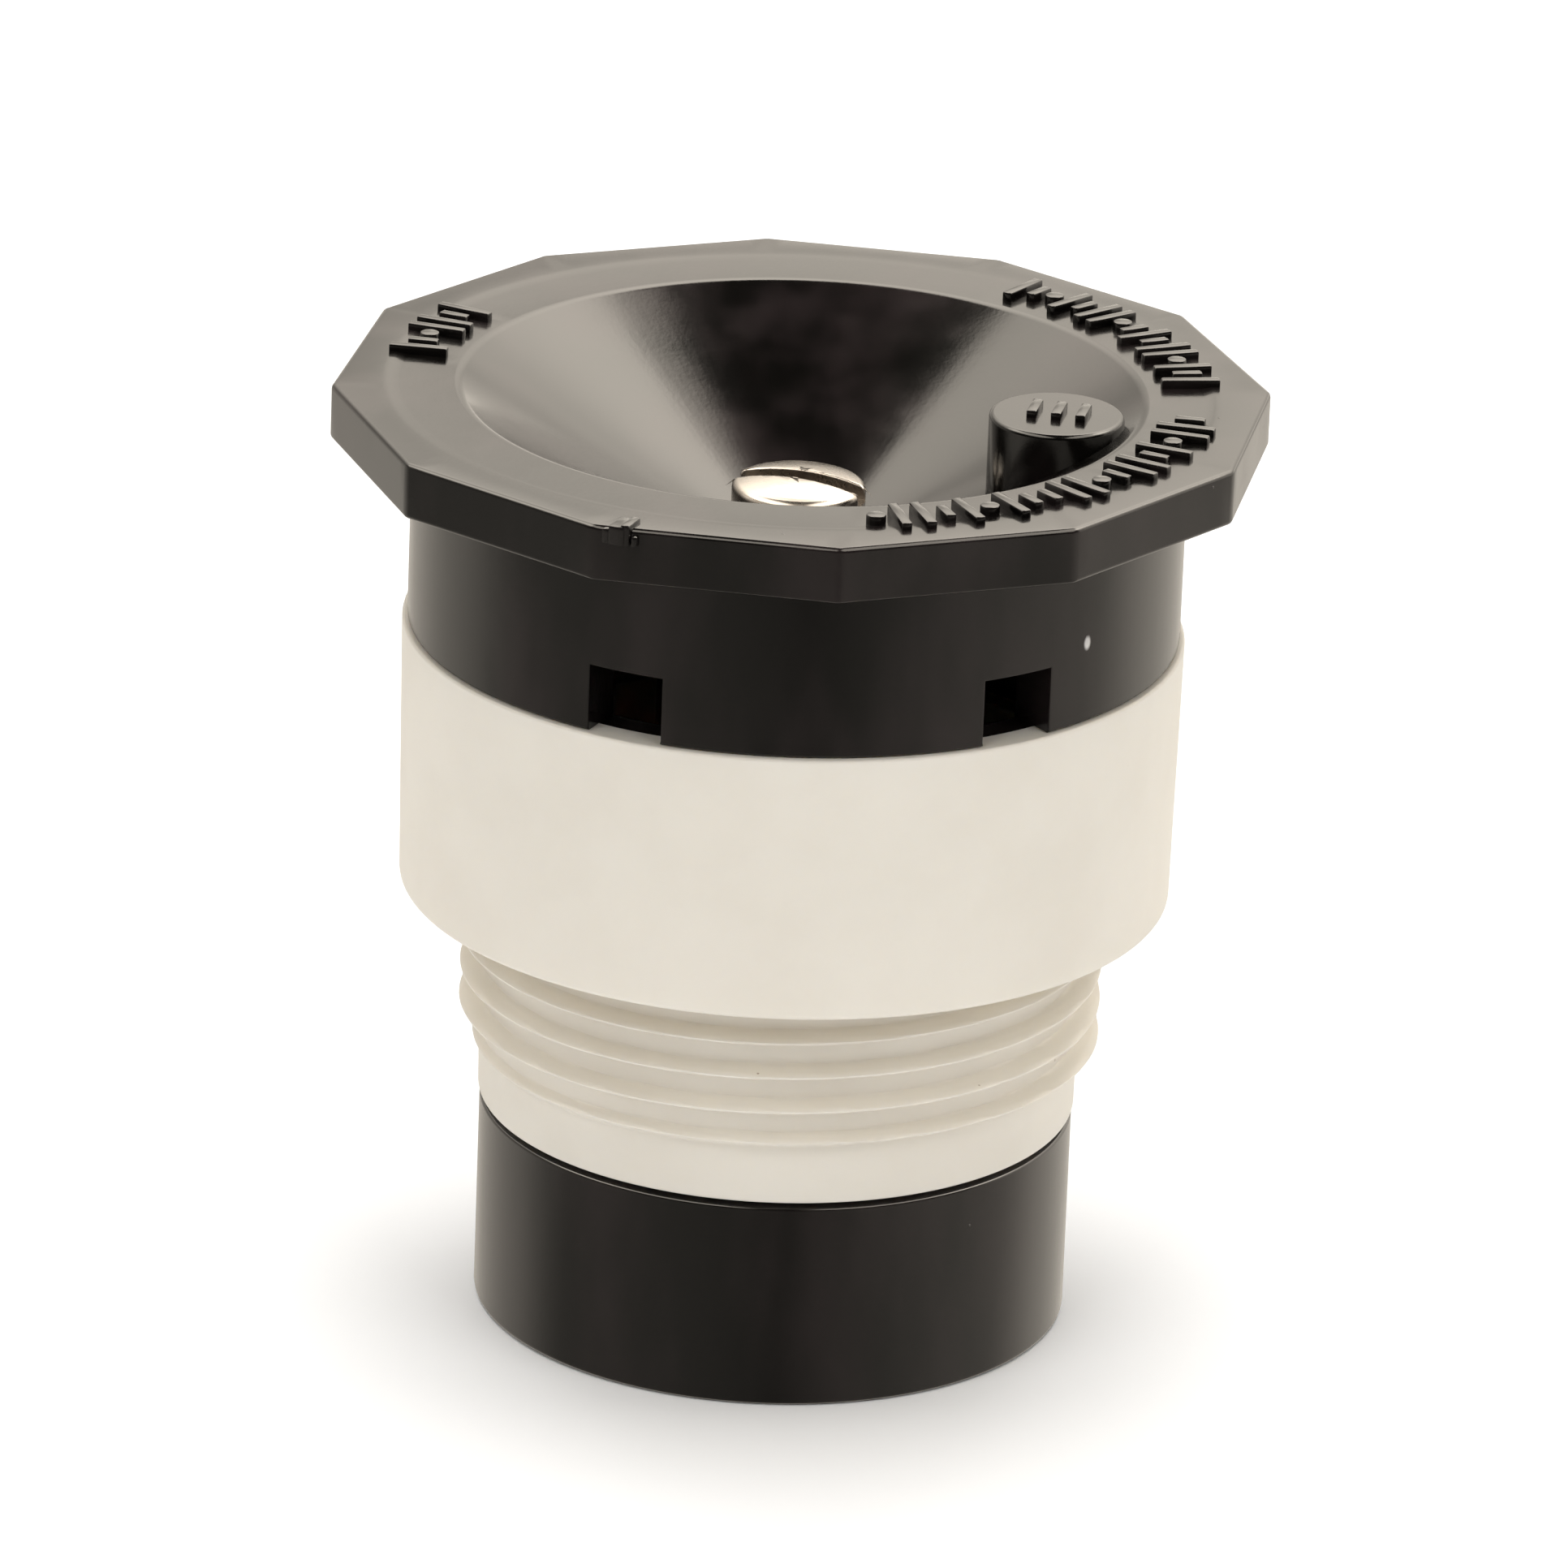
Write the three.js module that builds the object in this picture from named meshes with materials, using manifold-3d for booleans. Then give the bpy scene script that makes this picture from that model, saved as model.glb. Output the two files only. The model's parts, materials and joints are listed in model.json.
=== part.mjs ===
// A lawn spray nozzle with a male riser thread. Millimetres, +Z up.
// The origin is the centre of the inlet sleeve's lower end, and a corner of the twelve-sided
// grip flange points along -Y. From the top down: a black deflector cap with a conical dish and
// a steel radius screw, a cream threaded body, and a black inlet sleeve with its strainer.
import * as THREE from "three";
import { mergeVertices } from "three/addons/utils/BufferGeometryUtils.js";
import Module from "manifold-3d";

const wasm = await Module();
wasm.setup();

// Driving dimensions.
const RIM_Z = 23.8; // top plane of the grip flange
const FLANGE_SIDES = 12;
const FLANGE_CORNER_R = 11.49;
const FLANGE_THICK = 1.4;
const RIM_STEP_R = 9.95; // inside this radius the rim's top lies a little lower
const RIM_STEP = 0.04;
const DISH_R = 8.36;
const DISH_TAN = Math.tan(Math.PI / 6); // the dish's wall rises at 30 degrees
const DISH_WALL = 1.3;
const MARK_RISE = 0.18; // raised marks above the rim's top plane
const SKIRT_R = 9.47;
const SKIRT_INNER_R = 8.1;
const LEDGE_Z = 17.74; // the skirt's lower edge rests on the body's ledge here
const SPIGOT_R = 8.8;
const SPIGOT_BOTTOM_Z = 14.5;
const WINDOW_WIDTH = 1.9;
const WINDOW_HEIGHT = 1.68;
const WINDOW_AZIMUTHS = [60, 120, 240, 300]; // degrees from +X

const COLLAR_TOP_R = 9.6;
const COLLAR_BOTTOM_R = 9.5;
const COLLAR_BOTTOM_Z = 11.02; // flat stop that meets the riser's end
const THREAD_R = 7.94; // 5/8 inch over the crests
const THREAD_PITCH = 0.9;
const THREAD_DEPTH = 0.52;
const THREAD_TOP_Z = 10.35;
const THREAD_LOW_Z = 6.75;
const BODY_BOTTOM_Z = 5.35;
const BODY_BOTTOM_R = 7.39;
const BORE_R = 6.3;
const WEB_LOW_Z = 9.6;
const WEB_TOP_Z = 10.8;
const SHELF_Z = 13.7;

const SLEEVE_R = 7.36;
const SLEEVE_TOP_Z = 5.22;
const SLEEVE_BORE_R = 5.6;
const SCREEN_SHOULDER_Z = 4.4;
const NECK_BORE_R = 4.3;

const SCREW_TOP_Z = RIM_Z - 2.2;
const SCREW_HEAD_R = 1.64;
const SCREW_SHANK_R = 1.2;
const SCREW_JOURNAL_R = 0.75;
const SLOT_AZIMUTH = -22; // degrees, the driver slot's direction
const RUNNING_GAP = 0.05; // radial, between what turns or slides and what holds it
const HUB_R = 3.3;
const HUB_BOTTOM_Z = 13.55;
const SOCKET_WIDTH = 3.7; // square socket that keys the throttle plug
const SOCKET_TOP_Z = 16.2;
const PLUG_TOP_Z = 15.2;
const CONE_TOP_Z = 12.4;
const CONE_LOW_Z = 11.6;
const CONE_COLLAR = 0.1; // the plain band above the cone, under the hub at every pose

const WIDE_SEGMENTS = 48;
const FINE_SEGMENTS = 24;

const radians = THREE.MathUtils.degToRad;

const FINISHES = {
  black: { color: 0x1b1716, roughness: 0.34, metalness: 0 },
  cream: { color: 0xded6c4, roughness: 0.5, metalness: 0 },
  steel: { color: 0xc9c7c2, roughness: 0.25, metalness: 1 },
  brass: { color: 0xb99a5b, roughness: 0.35, metalness: 1 },
  rubber: { color: 0x161616, roughness: 0.75, metalness: 0 },
};

// Geometry helpers.

const bare = (geometry) => {
  geometry.deleteAttribute("normal");
  geometry.deleteAttribute("uv");
  return mergeVertices(geometry, 1e-4);
};

// A solid of revolution about Z from a closed outline of [radius, height] pairs that runs
// upwards on its outer side.
const turned = (outline, segments = FINE_SEGMENTS) => {
  const points = outline.map(([r, z]) => new THREE.Vector2(r, z));
  points.push(points[0].clone());
  return bare(new THREE.LatheGeometry(points, segments).rotateX(Math.PI / 2));
};

// The same for an outline that starts and ends on the axis.
const turnedOnAxis = (outline, segments = FINE_SEGMENTS) => {
  const points = outline.map(([r, z]) => new THREE.Vector2(r, z));
  return bare(new THREE.LatheGeometry(points, segments).rotateX(Math.PI / 2));
};

const block = (width, depth, lowZ, topZ, azimuth = 0, radius = 0) =>
  bare(
    new THREE.BoxGeometry(width, depth, topZ - lowZ)
      .translate(radius, 0, (lowZ + topZ) / 2)
      .rotateZ(radians(azimuth)),
  );

const post = (radius, lowZ, topZ, sides, azimuth = 0, atRadius = 0) =>
  bare(
    new THREE.CylinderGeometry(radius, radius, topZ - lowZ, sides)
      .rotateX(Math.PI / 2)
      .translate(atRadius, 0, (lowZ + topZ) / 2)
      .rotateZ(radians(azimuth)),
  );

const solid = (geometry) =>
  new wasm.Manifold(
    new wasm.Mesh({
      numProp: 3,
      vertProperties: geometry.attributes.position.array,
      triVerts: new Uint32Array(geometry.index.array),
    }),
  );

const fromSolid = (made) => {
  const { vertProperties, triVerts, numProp } = made.getMesh();
  const geometry = new THREE.BufferGeometry();
  const positions = new Float32Array((vertProperties.length / numProp) * 3);
  for (let i = 0; i < positions.length / 3; i++)
    for (let k = 0; k < 3; k++) positions[3 * i + k] = vertProperties[numProp * i + k];
  geometry.setAttribute("position", new THREE.BufferAttribute(positions, 3));
  geometry.setIndex(new THREE.BufferAttribute(new Uint32Array(triVerts), 1));
  return geometry;
};

const joined = (first, ...others) =>
  others.reduce((sum, geometry) => sum.add(solid(geometry)), solid(first));

const cut = (stock, ...cutters) =>
  cutters.reduce((rest, geometry) => rest.subtract(solid(geometry)), stock);

// The black deflector cap: grip flange, dish, skirt, spigot and hub in one moulding.

const dishZ = (r) => RIM_Z - RIM_STEP - (DISH_R - r) * DISH_TAN;

const gripFlange = () => {
  const outline = new THREE.Shape();
  for (let i = 0; i < FLANGE_SIDES; i++) {
    const angle = (2 * Math.PI * i) / FLANGE_SIDES;
    const [x, y] = [FLANGE_CORNER_R * Math.cos(angle), FLANGE_CORNER_R * Math.sin(angle)];
    if (i === 0) outline.moveTo(x, y);
    else outline.lineTo(x, y);
  }
  outline.closePath();
  const hole = new THREE.Path();
  hole.absarc(0, 0, RIM_STEP_R + 0.2, 0, 2 * Math.PI, true);
  outline.holes.push(hole);
  const plate = new THREE.ExtrudeGeometry(outline, {
    depth: FLANGE_THICK,
    bevelEnabled: false,
    curveSegments: WIDE_SEGMENTS / 2,
  });
  return bare(plate.translate(0, 0, RIM_Z - FLANGE_THICK));
};

const capShell = () => {
  const wellR = SCREW_HEAD_R + 0.3;
  const boreR = SCREW_SHANK_R + RUNNING_GAP;
  const underZ = (r) => dishZ(r) - DISH_WALL;
  return turned(
    [
      [SPIGOT_R, SPIGOT_BOTTOM_Z],
      [SPIGOT_R, LEDGE_Z],
      [SKIRT_R, LEDGE_Z],
      [SKIRT_R, RIM_Z - FLANGE_THICK],
      [RIM_STEP_R + 0.5, RIM_Z - FLANGE_THICK],
      [RIM_STEP_R + 0.5, RIM_Z],
      [RIM_STEP_R, RIM_Z],
      [RIM_STEP_R, RIM_Z - RIM_STEP],
      [DISH_R + 0.25, RIM_Z - RIM_STEP],
      [DISH_R, RIM_Z - RIM_STEP - 0.06],
      [DISH_R - 0.25, dishZ(DISH_R - 0.25) - 0.02],
      [wellR, dishZ(wellR)],
      [wellR, 19],
      [boreR, 19],
      [boreR, 18],
      [2, 18],
      [2, 17],
      [boreR, 17],
      [boreR, HUB_BOTTOM_Z],
      [HUB_R, HUB_BOTTOM_Z],
      [HUB_R, underZ(HUB_R)],
      [SKIRT_INNER_R, underZ(SKIRT_INNER_R)],
      [SKIRT_INNER_R, SPIGOT_BOTTOM_Z],
    ],
    WIDE_SEGMENTS,
  );
};

// Plain raised marks on the rim: three rows of long ribs, short ribs and dots.
const RIM_MARKS = [
  {
    from: -84,
    step: 3.45,
    kinds: "dot rib rib short rib dot rib short short rib rib dot short rib rib short rib dot "
      + "rib rib short",
  },
  {
    from: 2.5,
    step: 3,
    kinds: "rib short rib dot rib rib short rib short dot rib rib short rib dot short rib",
  },
  { from: 146.4, step: 3.15, kinds: "rib short rib rib dot short rib" },
];
const MARK_R = 9.55;
const RIB_WIDTH = 0.26;

const rimMarks = () => {
  const [low, top] = [RIM_Z - 0.6, RIM_Z + MARK_RISE];
  const kinds = {
    rib: (azimuth) => block(1.45, RIB_WIDTH, low, top, azimuth, MARK_R),
    short: (azimuth) => block(0.75, RIB_WIDTH, low, top, azimuth, MARK_R),
    dot: (azimuth) => post(0.24, low, top, 10, azimuth, MARK_R),
  };
  return RIM_MARKS.flatMap(({ from, step, kinds: row }) =>
    row.split(" ").map((kind, i) => kinds[kind](from + i * step)),
  );
};

const BOSS_R = 1.65;
const BOSS_CENTRE_R = 6.3;
const BOSS_AZIMUTH = -16;

const dishBoss = () => [
  post(BOSS_R, 21.4, RIM_Z, FINE_SEGMENTS, BOSS_AZIMUTH, BOSS_CENTRE_R),
  block(0.6, 0.75, RIM_Z - 0.3, RIM_Z + MARK_RISE, BOSS_AZIMUTH, BOSS_CENTRE_R + 0.6),
  block(0.6, 0.75, RIM_Z - 0.3, RIM_Z + MARK_RISE, BOSS_AZIMUTH, BOSS_CENTRE_R - 0.5),
];

const deflectorCap = () => {
  const stock = joined(gripFlange(), capShell(), ...dishBoss(), ...rimMarks());
  const windows = WINDOW_AZIMUTHS.map((azimuth) =>
    block(3, WINDOW_WIDTH, LEDGE_Z, LEDGE_Z + WINDOW_HEIGHT, azimuth, 9),
  );
  const socket = block(SOCKET_WIDTH, SOCKET_WIDTH, HUB_BOTTOM_Z - 1, SOCKET_TOP_Z);
  return fromSolid(cut(stock, ...windows, socket));
};

// The cream body: collar, riser thread, and a web that carries the metering seat.

// How far the thread stands out at a height and an angle, from 0 at the root to 1 at a crest.
// The thread is right-handed, with a crest facing -Y at CREST_Z, and fades at its two ends.
const CREST_Z = 9.78;
const threadRise = (z, angle) => {
  const turns = (z - CREST_Z) / THREAD_PITCH - (angle + Math.PI / 2) / (2 * Math.PI);
  const fade = (edge) => THREE.MathUtils.clamp(edge / (THREAD_PITCH / 2), 0, 1);
  const ends = fade(z - THREAD_LOW_Z) * fade(THREAD_TOP_Z - z);
  return ends * (0.5 + 0.5 * Math.cos(2 * Math.PI * turns));
};

const nozzleBody = () => {
  const rootR = THREAD_R - THREAD_DEPTH;
  const samples = Math.round(((THREAD_TOP_Z - THREAD_LOW_Z) / THREAD_PITCH) * 6);
  const threadStretch = Array.from({ length: samples + 1 }, (_, i) => [
    rootR,
    THREAD_LOW_Z + ((THREAD_TOP_Z - THREAD_LOW_Z) * i) / samples,
  ]);
  const body = turned(
    [
      [BORE_R, BODY_BOTTOM_Z],
      [BODY_BOTTOM_R - 0.1, BODY_BOTTOM_Z],
      [BODY_BOTTOM_R, BODY_BOTTOM_Z + 0.1],
      [BODY_BOTTOM_R + 0.1, 6.2],
      ...threadStretch,
      [rootR, COLLAR_BOTTOM_Z],
      [COLLAR_BOTTOM_R - 0.15, COLLAR_BOTTOM_Z],
      [COLLAR_BOTTOM_R, COLLAR_BOTTOM_Z + 0.15],
      [COLLAR_TOP_R, LEDGE_Z - 0.1],
      [COLLAR_TOP_R - 0.08, LEDGE_Z],
      [SPIGOT_R + 0.05, LEDGE_Z],
      [SPIGOT_R + 0.05, SHELF_Z],
      [7.5, SHELF_Z],
      [7.5, WEB_TOP_Z],
      [3.4, WEB_TOP_Z],
      [3.4, WEB_LOW_Z],
      [BORE_R, WEB_LOW_Z],
    ],
    WIDE_SEGMENTS,
  );
  const at = body.attributes.position;
  for (let i = 0; i < at.count; i++) {
    const [x, y, z] = [at.getX(i), at.getY(i), at.getZ(i)];
    const r = Math.hypot(x, y);
    if (Math.abs(r - rootR) > 0.001 || z > THREAD_TOP_Z) continue;
    const scale = (r + THREAD_DEPTH * threadRise(z, Math.atan2(y, x))) / r;
    at.setXY(i, x * scale, y * scale);
  }
  return body;
};

// The black inlet sleeve: a plain tube below, a sealed spigot above, a shoulder for the strainer.
const inletSleeve = () =>
  turned(
    [
      [SLEEVE_BORE_R + 0.15, 0],
      [SLEEVE_R - 0.16, 0],
      [SLEEVE_R, 0.2],
      [SLEEVE_R, SLEEVE_TOP_Z - 0.17],
      [SLEEVE_R - 0.16, SLEEVE_TOP_Z],
      [6.25, SLEEVE_TOP_Z],
      [6.25, 6.6],
      [5.55, 6.6],
      [5.55, 7.8],
      [6.25, 7.8],
      [6.25, 9.3],
      [6.1, 9.45],
      [5.1, 9.45],
      [5.1, 7.9],
      [NECK_BORE_R, 7.9],
      [NECK_BORE_R, SCREEN_SHOULDER_Z],
      [SLEEVE_BORE_R, SCREEN_SHOULDER_Z],
      [SLEEVE_BORE_R, 3.05],
      [5.95, 3.05],
      [5.95, 2.4],
      [SLEEVE_BORE_R, 2.4],
      [SLEEVE_BORE_R, 0.15],
    ],
    WIDE_SEGMENTS,
  );

// The steel radius screw: slotted pan head, shank, and a journal that carries the throttle plug.
const radiusScrew = () => {
  const headBottomZ = SCREW_TOP_Z - 1.54;
  const shaft = turnedOnAxis([
    [0, 10.95],
    [SCREW_JOURNAL_R - 0.15, 10.95],
    [SCREW_JOURNAL_R, 11.1],
    [0.5, 11.12],
    [0.5, 11.5],
    [SCREW_JOURNAL_R, 11.5],
    [SCREW_JOURNAL_R, PLUG_TOP_Z + 0.03],
    [SCREW_SHANK_R, PLUG_TOP_Z + 0.03],
    [SCREW_SHANK_R, headBottomZ],
    [SCREW_HEAD_R, headBottomZ],
    [SCREW_HEAD_R, SCREW_TOP_Z - 0.5],
    [SCREW_HEAD_R - 0.15, SCREW_TOP_Z - 0.18],
    [SCREW_HEAD_R - 0.5, SCREW_TOP_Z - 0.02],
    [0, SCREW_TOP_Z],
  ]);
  const slot = block(4, 0.5, SCREW_TOP_Z - 0.6, SCREW_TOP_Z + 1, SLOT_AZIMUTH);
  return fromSolid(cut(solid(shaft), slot));
};

// The throttle plug: a square body keyed in the cap's socket, with a cone that meets the seat.
const throttlePlug = () => {
  const width = SOCKET_WIDTH - 2 * RUNNING_GAP;
  const key = block(width, width, CONE_TOP_Z, PLUG_TOP_Z);
  const cone = turnedOnAxis([
    [0, CONE_LOW_Z],
    [1.3, CONE_LOW_Z],
    [2.3, CONE_TOP_Z],
    [2.3, CONE_TOP_Z + CONE_COLLAR],
    [0, CONE_TOP_Z + CONE_COLLAR],
  ]);
  const bore = post(SCREW_JOURNAL_R + RUNNING_GAP, CONE_LOW_Z - 1, PLUG_TOP_Z + 1, FINE_SEGMENTS);
  return fromSolid(cut(joined(key, cone), bore));
};

// An open ring, such as a retaining clip: a flat annulus with a gap.
const openRing = (innerR, outerR, lowZ, topZ, gapWidth, gapAzimuth, segments) => {
  const ring = turned(
    [
      [innerR, lowZ],
      [outerR, lowZ],
      [outerR, topZ],
      [innerR, topZ],
    ],
    segments,
  );
  const gap = block(2 * outerR, gapWidth, lowZ - 1, topZ + 1, gapAzimuth, outerR);
  return fromSolid(cut(solid(ring), gap));
};

const plugClip = () => openRing(0.55, 1.15, 11.16, 11.44, 0.8, 90, FINE_SEGMENTS);

const screenRing = () => openRing(5.1, 5.9, 2.47, 2.98, 2.6, 0, WIDE_SEGMENTS);

// The brass metering seat, pressed in the body's web.
const meteringSeat = () =>
  turned([
    [1.6, 9.75],
    [3.3, 9.75],
    [3.3, WEB_TOP_Z + 0.04],
    [4.6, WEB_TOP_Z + 0.04],
    [4.6, 11.3],
    [2.25, 11.3],
    [1.6, 10.78],
  ]);

// A rubber ring of round section.
const sealRing = (middleR, sectionR, middleZ, segments, sides = 8) =>
  turned(
    Array.from({ length: sides }, (_, i) => {
      const angle = (2 * Math.PI * i) / sides;
      return [middleR + sectionR * Math.cos(angle), middleZ + sectionR * Math.sin(angle)];
    }),
    segments,
  );

const capSeal = () =>
  turned(
    [
      [8.15, SHELF_Z + 0.05],
      [8.75, SHELF_Z + 0.05],
      [8.75, SPIGOT_BOTTOM_Z - 0.05],
      [8.15, SPIGOT_BOTTOM_Z - 0.05],
    ],
    WIDE_SEGMENTS,
  );

const flowWasher = () =>
  turned([
    [1.2, 8],
    [4.95, 7.95],
    [4.95, 9.05],
    [1.2, 9.25],
  ]);

// The strainer: a steel mesh disc over a cross-ribbed frame, under the sleeve's shoulder.
const screenMesh = () => {
  const [holeWidth, spacing, reach] = [0.8, 1.2, 4.1];
  const disc = post(5.5, 4.2, 4.35, WIDE_SEGMENTS);
  const count = Math.floor(reach / spacing);
  const holes = [];
  for (let i = -count; i <= count; i++)
    for (let j = -count; j <= count; j++)
      if (Math.hypot(i * spacing, j * spacing) < reach - holeWidth / 2)
        holes.push(block(holeWidth, holeWidth, 3, 5).translate(i * spacing, j * spacing, 0));
  return fromSolid(cut(solid(disc), ...holes));
};

const screenFrame = () => {
  const [lowZ, topZ, ribWidth] = [3.1, 4.15, 0.7];
  const ring = turned(
    [
      [4.7, lowZ],
      [5.5, lowZ],
      [5.5, topZ],
      [4.7, topZ],
    ],
    WIDE_SEGMENTS,
  );
  const ribs = [0, 90].map((azimuth) => block(10, ribWidth, lowZ + 0.2, topZ - 0.1, azimuth));
  return fromSolid(joined(ring, ...ribs));
};

const nozzle = new THREE.Group();
const addPart = (name, geometry, finish) => {
  const mesh = new THREE.Mesh(geometry, new THREE.MeshStandardMaterial(FINISHES[finish]));
  mesh.name = name;
  geometry.computeVertexNormals();
  nozzle.add(mesh);
};

addPart("deflector_cap", deflectorCap(), "black");
addPart("nozzle_body", nozzleBody(), "cream");
addPart("inlet_sleeve", inletSleeve(), "black");
addPart("radius_screw", radiusScrew(), "steel");
addPart("throttle_plug", throttlePlug(), "black");
addPart("plug_clip", plugClip(), "steel");
addPart("metering_seat", meteringSeat(), "brass");
addPart("screw_seal", sealRing(1.61, 0.37, 17.5, FINE_SEGMENTS), "rubber");
addPart("cap_seal", capSeal(), "rubber");
addPart("sleeve_seal", sealRing(5.93, 0.35, 7.2, WIDE_SEGMENTS), "rubber");
addPart("flow_washer", flowWasher(), "rubber");
addPart("screen_mesh", screenMesh(), "steel");
addPart("screen_frame", screenFrame(), "black");
addPart("screen_ring", screenRing(), "steel");

export default nozzle;
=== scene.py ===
"""Looks for the lawn spray nozzle: black deflector cap, cream threaded body, black inlet sleeve,
slotted radius screw, and the pieces inside them. Pieces are modelled in millimetres about the
nozzle's own axis, and shrunk to metres when they are finished."""

import json
import math

import bmesh
import bpy
from mathutils import Matrix, Vector


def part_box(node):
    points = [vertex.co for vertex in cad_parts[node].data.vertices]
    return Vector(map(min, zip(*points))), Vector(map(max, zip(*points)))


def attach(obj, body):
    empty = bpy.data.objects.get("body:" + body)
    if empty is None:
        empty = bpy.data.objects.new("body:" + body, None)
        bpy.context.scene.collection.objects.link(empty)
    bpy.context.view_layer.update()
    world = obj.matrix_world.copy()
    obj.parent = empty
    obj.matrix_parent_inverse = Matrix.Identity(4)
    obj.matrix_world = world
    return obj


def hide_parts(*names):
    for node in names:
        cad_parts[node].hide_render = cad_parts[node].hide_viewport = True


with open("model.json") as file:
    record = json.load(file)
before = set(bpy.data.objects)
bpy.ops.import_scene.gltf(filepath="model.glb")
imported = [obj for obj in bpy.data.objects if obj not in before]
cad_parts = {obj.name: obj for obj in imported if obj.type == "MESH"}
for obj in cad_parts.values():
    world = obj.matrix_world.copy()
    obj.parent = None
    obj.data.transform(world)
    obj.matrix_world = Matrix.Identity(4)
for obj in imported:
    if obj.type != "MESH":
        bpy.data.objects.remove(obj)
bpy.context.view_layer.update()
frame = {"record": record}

MM = 0.001
BODY_OF = {
    node: body
    for body, nodes in frame["record"]["behaviour"]["bodies"].items()
    for node in nodes
}


def span(node):
    """A node's lowest and highest corners, in millimetres."""
    low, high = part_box(node)
    return low / MM, high / MM


CAP_LOW, CAP_HIGH = span("deflector_cap")
NOZZLE_LOW, NOZZLE_HIGH = span("nozzle_body")
SLEEVE_LOW, SLEEVE_HIGH = span("inlet_sleeve")
SCREW_LOW, SCREW_HIGH = span("radius_screw")

# The cap's driving sizes.
MARK_RISE = 0.18
RIM_Z = CAP_HIGH.z - MARK_RISE
FLANGE_SIDES = 12
FLANGE_R = CAP_HIGH.x
FLANGE_THICK = 1.4
RIM_STEP_R = 9.95
RIM_STEP = 0.04
DISH_R = 8.36
DISH_TAN = math.tan(math.radians(30))
DISH_WALL = 1.3
SKIRT_R = 9.47
SKIRT_INNER_R = 8.1
SPIGOT_R = 8.8
LEDGE_Z = NOZZLE_HIGH.z
WINDOW_WIDTH = 1.9
WINDOW_HEIGHT = 1.68
WINDOW_AZIMUTHS = (60, 120, 240, 300)
SOCKET_WIDTH = 3.7
SOCKET_LOW_Z = 12.4
SOCKET_TOP_Z = 16.2
BOSS_AZIMUTH = -16
BOSS_PLACE_R = 6.3
BOSS_R = 1.65

# Plain raised marks on the rim: each row's first azimuth, its step in degrees, and its marks,
# which are long ribs, short ribs and dots.
RIM_MARKS = (
    (-84, 3.45, "dot rib rib short rib dot rib short short rib rib dot short rib rib short rib "
     "dot rib rib short"),
    (2.5, 3, "rib short rib dot rib rib short rib short dot rib rib short rib dot short rib"),
    (146.4, 3.15, "rib short rib rib dot short rib"),
)
MARK_R = 9.55
RIB_LENGTHS = {"rib": 1.45, "short": 0.75}
RIB_WIDTH = 0.26
DOT_R = 0.24

# The body's driving sizes.
COLLAR_R = NOZZLE_HIGH.x
COLLAR_BOTTOM_Z = 11.02
THREAD_R = 7.94
THREAD_PITCH = 0.9
THREAD_DEPTH = 0.52

# Steps in a full turn, and how close counts as level or as one point.
ROUND_STEPS = 144
SMALL_STEPS = 64
NEAR = 1e-3
WELD = 1e-4


# Modelling helpers.


def deselect():
    bpy.ops.object.select_all(action="DESELECT")


def pick(obj):
    """Makes obj the only selected object."""
    if bpy.context.mode != "OBJECT":
        bpy.ops.object.mode_set(mode="OBJECT")
    deselect()
    obj.select_set(True)
    bpy.context.view_layer.objects.active = obj
    return obj


def edit(obj):
    pick(obj)
    bpy.ops.object.mode_set(mode="EDIT")
    bpy.ops.mesh.select_mode(type="VERT")
    bpy.ops.mesh.select_all(action="SELECT")


def choose(obj, kind, test):
    """Selects the edit mesh's verts, edges or faces that pass the test."""
    bpy.ops.mesh.select_mode(type=kind)
    bpy.ops.mesh.select_all(action="DESELECT")
    mesh = bmesh.from_edit_mesh(obj.data)
    for part in {"VERT": mesh.verts, "EDGE": mesh.edges, "FACE": mesh.faces}[kind]:
        if test(part):
            part.select_set(True)
    bmesh.update_edit_mesh(obj.data)


def settle(obj):
    """Puts a primitive's place and size in its mesh."""
    pick(obj)
    bpy.ops.object.transform_apply(location=True, rotation=True, scale=True)
    return obj


def apply(obj, kind, **settings):
    """Adds a modifier and applies it."""
    pick(obj)
    modifier = obj.modifiers.new(kind.lower(), kind)
    for name, value in settings.items():
        setattr(modifier, name, value)
    bpy.ops.object.modifier_apply(modifier=modifier.name)
    return obj


def soften(obj, width, angle=30, segments=3):
    """Rounds every edge that is sharper than the angle."""
    return apply(obj, "BEVEL", width=width, segments=segments, limit_method="ANGLE",
                 angle_limit=math.radians(angle), use_clamp_overlap=True)


def boolean(obj, tool, operation):
    """Joins or cuts obj with a tool, which is used up."""
    apply(obj, "BOOLEAN", object=tool, operation=operation, solver="EXACT")
    bpy.data.objects.remove(tool)
    return obj


def join(pieces):
    """Makes one object of the pieces, under the first one's name."""
    pick(pieces[0])
    for piece in pieces:
        piece.select_set(True)
    bpy.ops.object.join()
    return pieces[0]


def rounded(outline, segments=4):
    """The outline with an arc at each corner that has a third number, its radius."""
    corners = []
    for i, (r, z, *radius) in enumerate(outline):
        at = Vector((r, z))
        if not radius:
            corners.append(at)
            continue
        back = (Vector(outline[i - 1][:2]) - at).normalized()
        ahead = (Vector(outline[(i + 1) % len(outline)][:2]) - at).normalized()
        half = back.angle(ahead) / 2
        centre = at + (back + ahead).normalized() * radius[0] / math.sin(half)
        start = at + back * radius[0] / math.tan(half) - centre
        turn = start.angle_signed(at + ahead * radius[0] / math.tan(half) - centre)
        for k in range(segments + 1):
            arc = Matrix.Rotation(-turn * k / segments, 2) @ start
            corners.append(centre + arc)
    return corners


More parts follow.
